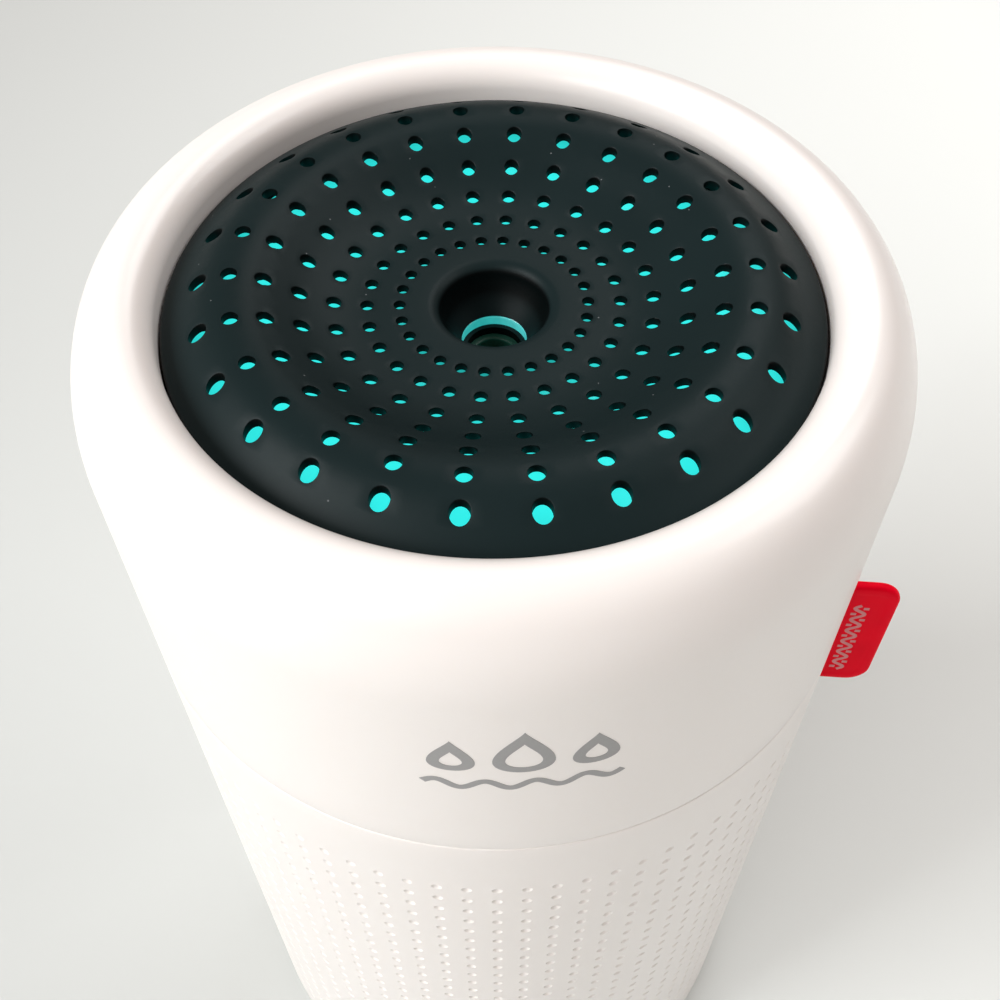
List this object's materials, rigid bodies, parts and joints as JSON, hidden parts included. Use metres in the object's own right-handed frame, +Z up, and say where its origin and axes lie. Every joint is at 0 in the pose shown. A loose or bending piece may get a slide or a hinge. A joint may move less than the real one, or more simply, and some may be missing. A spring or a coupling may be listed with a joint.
{
  "type": "portable ultrasonic mist diffuser",
  "caption": "Cylindrical tabletop mist diffuser: lift-off head with a perforated dished cover and lit nozzle, over a dimpled water-tank sleeve with a side tag.",
  "frame": {"origin": "centre of the underside of the foot pad, where the diffuser stands", "axes": "+Z up along the body's axis, -Y is the front with the printed mark, +X is the side with the tag"},
  "size_m": [0.1053, 0.0954, 0.175],
  "materials": {
    "white_shell": "satin gloss injection-moulded white ABS",
    "black_cover": "satin blue-black moulded plastic",
    "red_tag": "soft satin red silicone",
    "frosted_tank": "frosted translucent polypropylene",
    "grey_silicone": "matt grey silicone",
    "lit_diffuser": "milky translucent acrylic, lit teal from below",
    "white_inner": "fine-textured white moulded plastic",
    "clear_silicone": "soft translucent silicone",
    "green_silicone": "dark green silicone",
    "screw_steel": "zinc-plated steel",
    "mesh_steel": "fine perforated steel mesh",
    "piezo_ceramic": "green-coated piezo ceramic",
    "board_green": "green solder-masked board",
    "led_package": "white light-emitter package",
    "chip_black": "matt black moulded package",
    "socket_steel": "nickel-plated stamped shell",
    "white_button": "satin white plastic",
    "white_silicone": "matt white silicone",
    "cell_wrap": "shrink-wrapped cylindrical cell",
    "lead_red": "insulated stranded lead",
    "wick_cotton": "compressed cotton wick",
    "spring_steel": "bright spring wire"
  },
  "bodies": {
    "tank_unit": {"foot_pad": "grey_silicone", "base_plate": "white_shell", "base_screws": "screw_steel", "outer_sleeve": "white_shell", "inner_tank": "frosted_tank", "side_tag": "red_tag"},
    "mist_head": {"upper_housing": "white_shell", "top_cover": "black_cover", "light_diffuser": "lit_diffuser", "nozzle_light_ring": "lit_diffuser", "bottom_cover": "white_inner", "seal_ring": "clear_silicone", "housing_screws": "screw_steel", "atomizer_gasket": "green_silicone", "mesh_plate": "mesh_steel", "piezo_ring": "piezo_ceramic", "atomizer_retainer": "black_cover", "retainer_screws": "screw_steel", "led_board": "board_green", "led_board_screws": "screw_steel", "leds": "led_package", "control_board": "board_green", "board_screws": "screw_steel", "control_chips": "chip_black", "usb_socket": "socket_steel", "tact_switch": "chip_black", "battery_cell": "cell_wrap", "battery_holder": "chip_black", "battery_leads": "lead_red", "wick_tube": "white_inner", "tube_cap": "white_inner", "wick": "wick_cotton", "wick_spring": "spring_steel"},
    "button": {"power_button": "white_button", "switch_plunger": "chip_black"},
    "port_plug": {"usb_plug_cover": "white_silicone"}
  },
  "joints": [
    {"name": "head_lift", "type": "slide", "parent": "tank_unit", "child": "mist_head", "axis": [0, 0, 1], "range_m": [0, 0.125]},
    {"name": "button_press", "type": "slide", "parent": "mist_head", "child": "button", "axis": [0, -1, 0], "range_m": [0, 0.0006], "stiffness_N_per_m": 1200, "springref_m": -0.0006},
    {"name": "port_plug_pull", "type": "slide", "parent": "mist_head", "child": "port_plug", "axis": [0, 1, 0], "range_m": [0, 0.01]}
  ]
}
